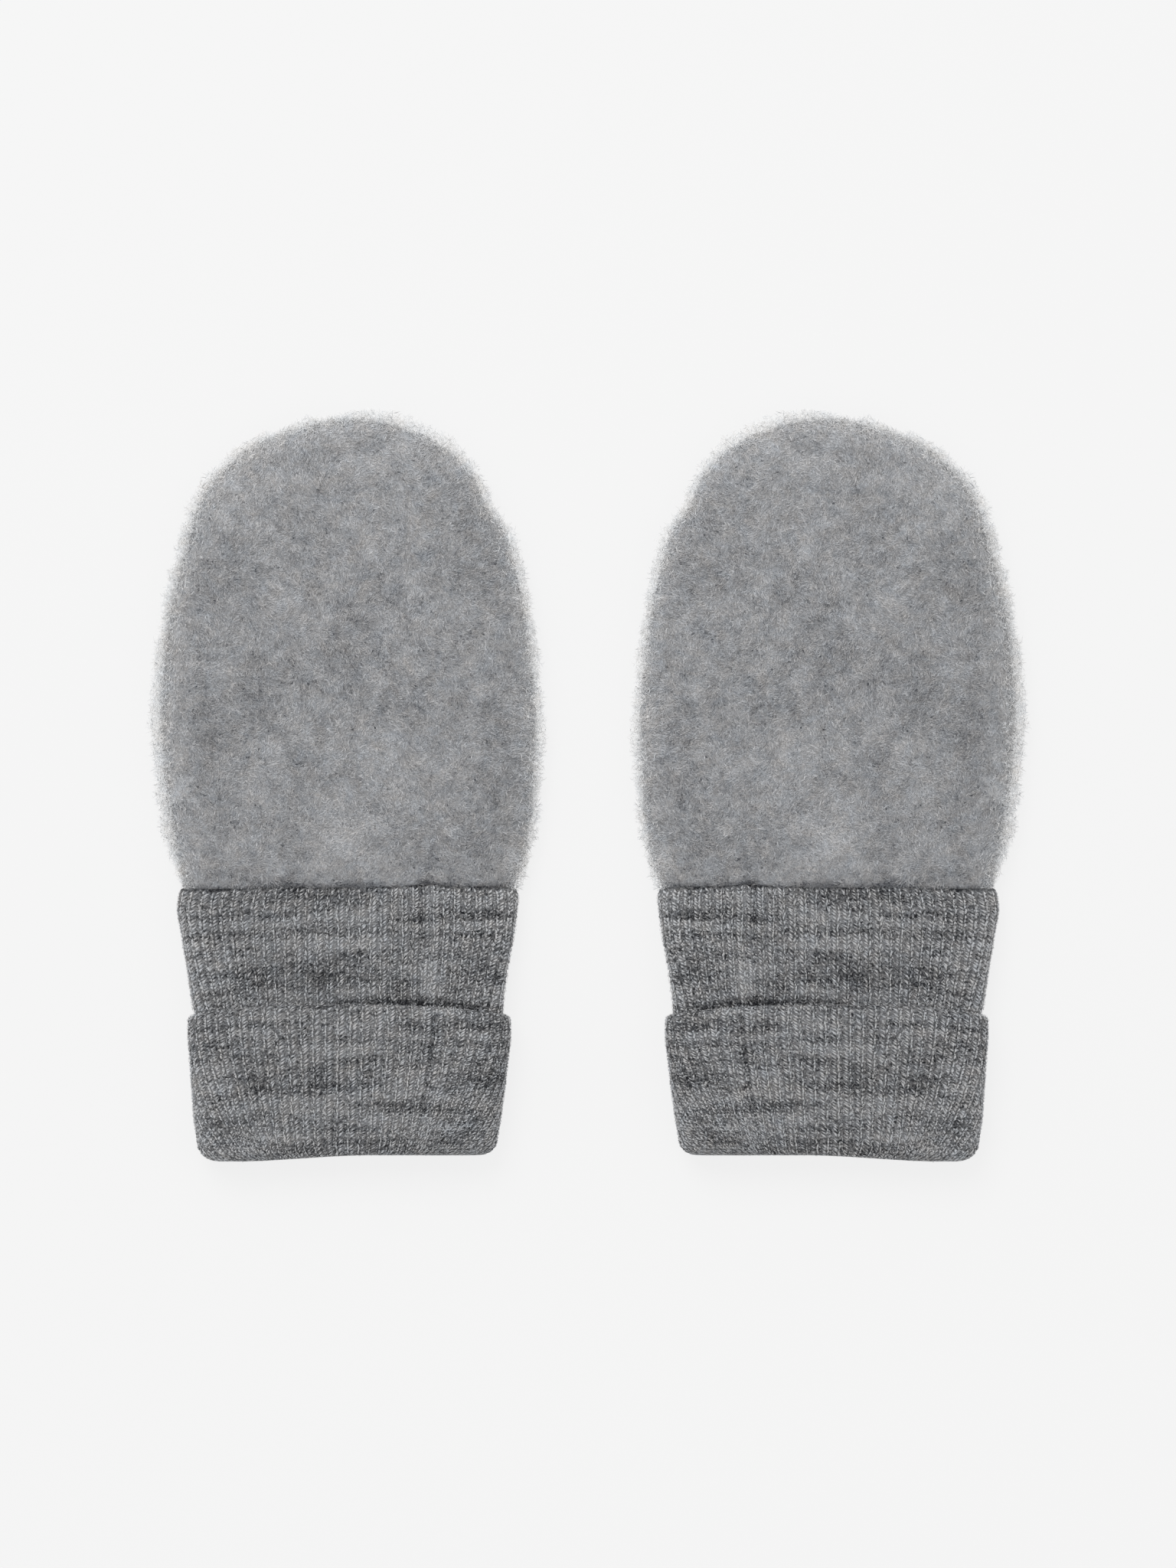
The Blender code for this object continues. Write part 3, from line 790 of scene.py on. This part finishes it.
def edgeY(share):
    # The upper edge of the turn-up, nearly straight in the middle and lower at the sides
    return cuff["edgeTop"] - cuff["edgeBow"] * np.abs(2 * share - 1) ** cuff["bowPower"]


def foldY(share):
    # The lower fold, which rises over half the width towards the inner side of the pair
    return mix(cuff["foldLeft"], cuff["foldRight"], smoothShare(2 * (share - cuff["foldSlopeStart"])))


def upperWay(course, share):
    # Down the outside of the cuff: y and depth after a number of courses
    y = mix(cuff["seamTop"], edgeY(share) - cuff["tuck"], course / cuff["upperCourses"])
    return y, np.zeros(np.shape(y))


turnUpRuns = [cuff[run] for run in ("edgeCourses", "outsideCourses", "foldCourses", "insideCourses")]


def turnUpWay(course, share):
    # Over the edge of the turn-up from inside it, down its outside, round the lower fold and up into
    # the mouth: y and depth after a number of courses
    edge, fold = edgeY(share), foldY(share)
    small, large = cuff["wall"] / 2, cuff["wall"] + cuff["gap"] / 2
    stops = np.cumsum([0, *turnUpRuns])
    over, down, under, inside = (
        np.clip((course - start) / (end - start), 0.0, 1.0) for start, end in zip(stops, stops[1:])
    )
    bend = np.radians(150.0) * (1.0 - over)
    turn = np.pi * under
    y = edge - small * (1 - np.sin(bend)) - down * (edge - small - fold - large)
    y = y - large * np.sin(turn) + inside * cuff["insideReach"]
    depth = small * (1 - np.cos(bend)) + large * (1 - np.cos(turn))
    return y, depth


def lean(around, course, courses, spreadTop, spreadFoot, pull, power):
    # Where a wale lies: spread over the upper side, and drawn in from the side folds lower down
    swing = np.sin(np.pi * (around - 0.5))
    down = np.clip(course / courses, 0.0, 1.2)
    spread = mix(spreadTop, spreadFoot, down)
    return around + spread * swing / np.pi - pull * down**2.2 * swing * np.abs(swing) ** power


knit = dict(
    upper=dict(rows="tube", courses=cuff["upperCourses"], way=upperWay, spread=(0.0, 0.158), pull=0.094,
               power=3.8),
    turnUp=dict(rows="turnUp", courses=sum(turnUpRuns), way=turnUpWay, spread=(0.22, 0.16), pull=0.125,
                power=2.0),
)
outsideEnd = cuff["edgeCourses"] + cuff["outsideCourses"]  # courses to the foot of the turn-up's outside


def knitPoint(part, around, course, rise):
    # A point over the furrows' ground: around in shares of the upper side, course counted downwards,
    # rise in millimetres above the ground
    lie = knit[part]
    bent = lean(around, course, outsideEnd, *lie["spread"], lie["pull"], lie["power"])
    beyond = smoothShare((around - cuff["seamShare"]) / 0.03) * smoothShare((0.9 - around) / 0.1)
    bent = bent + mix(*cuff["waver"], beyond) * softNoise(around * 40.0, course * 0.6, 4.0, 31)
    turned = np.mod(bent, 2.0)
    share = np.where(turned <= 1.0, turned, 2.0 - turned)
    y, depth = lie["way"](course, share)
    if part == "upper":
        # The seam's path over the upper side, which fades out just past the side folds and downwards
        beneath = np.where(turned <= 1.0, 0.0, np.minimum(turned - 1.0, 2.0 - turned))
        fade = smoothShare(1.0 - beneath / 0.04) * (1.0 - course / lie["courses"])
        y = y + seamPath(cuff["upperArc"] * (share - 0.5)) * fade
    x, z, upper = sectionPoint(cuff[lie["rows"]], y, bent, depth + cuff["furrow"] - rise)
    outer = np.where(depth < cuff["wall"] * 1.2, upper, 0.0)
    z = z + outer * (softMarks(x, y, cuff["creases"]) + seamRidge(around))
    return np.stack([x, y, np.maximum(z, leastHeight)], axis=-1)


def seamRidge(around):
    # The lengthwise seam: a narrow trough with a low swelling to its right
    fromSeam = around - cuff["seamShare"]
    trough = cuff["seamTrough"] * bell(fromSeam, cuff["seamWidth"])
    return cuff["seamSwelling"] * bell(fromSeam - 0.025, 0.018) - trough


ribShade = dict(
    tone=1.08,
    # Runs of one tone along the courses: share of x, share of a course, seed, strength
    runs=[(0.03, 0.13, 40, 0.22), (0.07, 0.5, 41, 0.54), (0.2, 0.9, 42, 0.50), (0.5, 0.5, 43, 0.16)],
    # crease: painted light on the creases' ridges and painted shade in their troughs
    crease=1.2,
    # seamLine: painted shadow line in the lengthwise seam's trough
    seamLine=0.7,
    seamBand=0.25,
    # nap: painted shadow on the knit close below the fleece's nap
    nap=0.9,  # close below the fleece
    # edge: painted shadow above the turn-up's edge
    edge=(0.22, 0.60),  # above the turn-up's edge, deeper to the right, where it gapes
    # roll: painted light on the turn-up's rolled top edge
    roll=0.15,
    sideFold=0.65,
)


def ribTone(x, y, around, course):
    # 1 on average: each course keeps its tone for some millimetres; the listed patches and the creases carry
    # painted light and shade; the seam has a painted shadow line with a paler band beside it; there is
    # painted shadow close below the fleece and above the turn-up's edge, and painted light on the turn-up's
    # rolled edge and near the side folds
    shade = ribShade
    runs = sum(
        strength * softNoise(x * across, course * up, 1.0, seed)
        for across, up, seed, strength in shade["runs"]
    )
    # painted light and shade on the listed patches and on the creases
    marks = softMarks(x, y, cuff["lightAndShadePatches"]) + shade["crease"] * softMarks(x, y, cuff["creases"])
    fromSeam = around - cuff["seamShare"]
    seam = shade["seamBand"] * bell(fromSeam - 0.027, 0.02)
    # painted shadow line in the lengthwise seam
    seam = seam - shade["seamLine"] * bell(fromSeam, cuff["seamWidth"])
    # painted shadow close below the fleece's nap
    under = shade["nap"] * bell(y - seamLine(x) - 0.05, 0.36)
    share = np.where(around <= 1.0, around, 2.0 - around)
    aboveEdge = y - edgeY(share)
    # painted shadow above the turn-up's edge, deeper to the right, where it gapes
    edgeShadow = mix(*shade["edge"], smoothShare((x + 6.0) / 24.0)) * bell(aboveEdge - 0.5, 1.0)
    # painted light on the turn-up's rolled top edge
    roll = shade["roll"] * bell(aboveEdge, 1.5)
    sideFold = shade["sideFold"] * bell(np.minimum(share, 1.0 - share), 0.05)  # lit from the table
    return shade["tone"] + runs + marks + seam - under + np.where(aboveEdge > 0.2, -edgeShadow, roll) + sideFold


def buildCuffCloth(side, material):
    # The doubled cloth as a closed ring of stops, carried round the flattened tube: down the outside,
    # into the crook, up inside the turn-up, over its edge, down its outside, round the lower fold and
    # up inside the mitten. Two columns to a rib give its furrow and its crest.
    columns = 4 * cuff["ribs"]
    around = np.arange(columns) / (2 * cuff["ribs"])
    ribbed = np.where(np.arange(columns) % 2 == 1, cuff["furrow"] - cuff["crest"], 0.0)
    share = np.where(around <= 1.0, around, 2.0 - around)
    wall, gap = cuff["wall"], cuff["gap"]
    rings, tones = [], []

    def knitted(part, courses):
        for course in courses:
            ring = knitPoint(part, around, np.full(columns, float(course)), ribbed)
            rings.append(ring)
            tones.append(ribTone(ring[:, 0], ring[:, 1], around, course))

    def plain(rows, y, depth):
        x, z, _ = sectionPoint(cuff[rows], y, around, np.full(columns, depth))
        rings.append(np.stack([x, y, z], axis=-1))
        tones.append(np.full(columns, 1.0))

    edge, fold = edgeY(share), foldY(share)
    crook = fold + wall
    knitted("upper", np.linspace(-0.28, knit["upper"]["courses"], 26))
    plain("tube", mix(edge, fold, 0.5), cuff["furrow"])
    plain("tube", crook + gap, cuff["furrow"])
    plain("turnUp", crook, wall + gap / 2)
    plain("turnUp", crook + gap, wall)
    plain("turnUp", edge - wall, wall)
    knitted("turnUp", np.concatenate([np.linspace(0.0, 4.0, 5), np.linspace(6.0, 44.0, 20),
                                      np.linspace(46.0, 64.0, 10)]))
    for y in (-44.0, -26.0, -24.8, -14.7, cuff["seamTop"]):
        plain("tube", np.full(columns, y), wall)
    points = np.concatenate(rings)
    faces = ringFaces(len(rings), columns)[:, ::-1]
    stop = np.repeat(np.arange(len(rings)) / len(rings), columns)
    cell = np.stack([np.tile(around / 2.0, len(rings)), stop], axis=1)
    piece = makePiece(f"{side}_cuff_cloth", side, points, faces, material,
                      np.concatenate(tones), cell)
    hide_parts(f"{side}_cuff")
    return piece


# Knit stitches

stitch = dict(
    ribWidth=1.93,
    pitch=0.62,  # of the courses
    # The two legs of a stitch from foot to head, in millimetres across the wale and courses up
    leftLeg=dict(foot=(-0.60, -0.50), head=(-0.70, 1.25), thick=0.165, high=0.18, spread=0.45),
    rightLeg=dict(foot=(-0.56, -0.45), head=(0.62, 1.20), thick=0.165, high=0.19, spread=0.45),
    # A loop of the wale between two ribs
    purl=dict(foot=(0.72, 0.0), head=(1.04, 0.80), thick=0.16, high=0.14, spread=0.75),
    purlRise=0.04,
    # purlShade: painted shade of the loops down in the furrow between the ribs
    purlShade=-0.40,
    middleRise=0.27,  # of a leg's middle above the furrow's ground
    endRise=0.06,
    underRise=0.20,
    acrossSpread=((1.0, 0.10), (0.0, 0.06)),  # middle and spread of a leg's growth and of its shift
    upSpread=((1.0, 0.20), (0.0, 0.20)),
    riseSpread=0.025,
    darkShare=0.13,  # of the stitches, that are of darker yarn
    darkTone=-1.0,
    pointSpread=0.46,  # of the tone along one leg
    # footShade and headShade: painted shade where a leg's foot and head dip under the neighbouring stitches
    footShade=-0.50,
    headShade=-0.10,
    ownTone=0.94,
    leftTone=0.05,
    seed=8,
)
grainMap = np.stack([np.linspace(0.0, 1.0, 6), np.tile([0.0, 1.0], 3)], axis=1)
looseFibres = dict(
    count=dict(upper=5600, turnUp=8400),
    lastCourse=dict(upper=cuff["upperCourses"], turnUp=outsideEnd + 4),
    length=(0.4, 1.3),
    width=(0.07, 0.13),
    rise=(0.32, 0.52),
    curl=1.0,
    darkShare=0.45,
    lightTone=1.35,
    darkTone=0.35,
    toneSpread=0.25,
    seed=12,
)


def grain(leg, middleRise, endRise):
    # A leg as a stretched grain: a point at its foot, a ring of four round its middle and a point at its
    # head. Columns: millimetres across, courses up, millimetres above the ground.
    foot, head = np.array(leg["foot"]), np.array(leg["head"])
    courses = np.array([1.0, stitch["pitch"]])
    way = (head - foot) * courses
    normal = np.array([way[1], -way[0]]) / np.hypot(*way) * leg["thick"] / courses
    centre = mix(foot, head, 0.5)
    ring = [(*(centre + across * normal), middleRise + up * leg["high"])
            for across, up in ((1, 0), (0, 1), (-1, 0), (0, -1))]
    faces = [(0, 1 + (k + 1) % 4, 1 + k) for k in range(4)] + [(1 + k, 1 + (k + 1) % 4, 5) for k in range(4)]
    return np.array([(*foot, endRise), *ring, (*head, endRise)]), np.array(faces)


def knitLegs(part, wales, leg, middleRise, endRise, toneShift, rng):
    # The same leg in every course of the given wales, each a little shifted, turned and shaded by chance
    shape, faces = grain(leg, middleRise, endRise)
    first = 1.3 if part == "upper" else 0.5  # the first courses are hidden in the seam
    rows = np.arange(first, knit[part]["courses"])
    wale, course = (side.ravel() for side in np.meshgrid(wales, rows, indexing="ij"))
    count, size = len(wale), len(shape)
    across, up = (
        shape[:, axis] * rng.normal(*growth, (count, 1)) + rng.normal(*shift, (count, 1))
        for axis, (growth, shift) in enumerate((stitch["acrossSpread"], stitch["upSpread"]))
    )
    rise = shape[:, 2] + rng.normal(0.0, stitch["riseSpread"], (count, 1))
    around = (wale[:, None] + 0.5 + across / stitch["ribWidth"]) / cuff["ribs"]
    points = knitPoint(part, around, course[:, None] - up, rise)
    middle = points.mean(axis=1)
    tone = ribTone(middle[:, 0], middle[:, 1], around.mean(axis=1), course)
    tone = tone + toneShift + leg["spread"] * rng.normal(0.0, 1.0, count)
    tone = tone + np.where(rng.random(count) < stitch["darkShare"], stitch["darkTone"], 0.0)
    # painted shade at each leg's foot and head, where it dips under the neighbouring stitches
    lit = np.full(size, stitch["ownTone"])
    lit[0], lit[-1] = stitch["footShade"], stitch["headShade"]
    tone = tone[:, None] + lit + stitch["pointSpread"] * rng.normal(0.0, 1.0, (count, size))
    faces = (np.arange(count)[:, None, None] * size + faces).reshape(-1, 3)
    return points.reshape(-1, 3), faces, tone.ravel()


def buildStitches(side, part, material):
    rng = np.random.default_rng(stitch["seed"] + len(part))
    front = np.arange(cuff["ribs"])
    back = front + cuff["ribs"]
    middle, under, end = stitch["middleRise"], stitch["underRise"], stitch["endRise"]
    points, faces, tone = joined([
        knitLegs(part, front, stitch["leftLeg"], middle, end, stitch["leftTone"], rng),
        knitLegs(part, front, stitch["rightLeg"], middle, end, 0.0, rng),
        knitLegs(part, front, stitch["purl"], stitch["purlRise"], 0.0, stitch["purlShade"], rng),
        knitLegs(part, back, stitch["leftLeg"], under, end, stitch["leftTone"], rng),
        knitLegs(part, back, stitch["rightLeg"], under, end, 0.0, rng),
    ])
    cell = patchMap(len(points) // len(grainMap), grainMap)
    name = "cuff_stitches" if part == "upper" else "turn_up_stitches"
    return makePiece(f"{side}_{name}", side, points, faces, material, tone, cell)


def buildLooseFibres(side, material):
    # Short bent fibres that have worked loose and lie over the stitches of the upper side every way
    rng = np.random.default_rng(looseFibres["seed"])
    blocks = []
    for part, count in looseFibres["count"].items():
        each = (count, 1)
        around = rng.uniform(-0.02, 1.02, each)
        course = rng.uniform(1.5, looseFibres["lastCourse"][part], each)
        rise = rng.uniform(*looseFibres["rise"], each)
        root = knitPoint(part, around, course, rise)[:, 0]
        across = knitPoint(part, around + 0.003, course, rise)[:, 0] - root
        upward = knitPoint(part, around, course - 0.3, rise)[:, 0] - root
        facing = unit(np.cross(across, upward))
        turn = rng.uniform(0.0, 2 * np.pi, each)
        along = unit(unit(across) * np.cos(turn) + unit(upward) * np.sin(turn))
        length = rng.uniform(*looseFibres["length"], each)
        width = rng.uniform(*looseFibres["width"], each)
        curl = looseFibres["curl"] * rng.normal(0.0, 1.0, each)
        roll = rng.uniform(-0.2, 0.2, each)
        points, faces = strands(root, along, facing, length, width, 0.0, curl, roll)
        dark = rng.random(count) < looseFibres["darkShare"]
        tone = np.where(dark, looseFibres["darkTone"], looseFibres["lightTone"])
        tone = tone + rng.normal(0.0, looseFibres["toneSpread"], count)
        tone = tone + ribTone(root[:, 0], root[:, 1], around[:, 0], course[:, 0]) - 1.0
        blocks.append((points, faces, np.repeat(tone, 4), np.repeat(facing, 4, axis=0)))
    points, faces, tone, toward = joined(blocks)
    cell = patchMap(len(points) // 4, strandMap)
    return makePiece(f"{side}_cuff_fibres", side, points, faces, material, tone, cell, toward)


# Assembly


def buildMittens():
    melange, fibres = melangeGroup(), fibreGroup()
    finish = {name: woolMaterial(name, melange, fibres) for name in wool}
    naps = dict(front=buildNap("front"), back=buildNap("back"), rim=buildRim())
    print("nap worked out")
    for side in ("left", "right"):
        back = buildPanel(side, "back", finish["fleece"])
        front = buildPanel(side, "front", finish["fleece"])
        for name, (points, faces, tone, cell, facing) in naps.items():
            paint = finish["litFuzz" if name == "rim" else "nap"]
            makePiece(f"{side}_{name}_nap", side, points, faces, paint,
                                       tone, cell, facing)
        cloth = buildCuffCloth(side, finish["shadedRibGround"])
        upper = buildStitches(side, "upper", finish["yarn"])
        lower = buildStitches(side, "turnUp", finish["yarn"])
        loose = buildLooseFibres(side, finish["yarn"])
        print(f"{side} mitten built")


buildView()
buildFloor()
print("view and floor ready")
buildMittens()
print(f"{totals['triangles']} triangles in all")
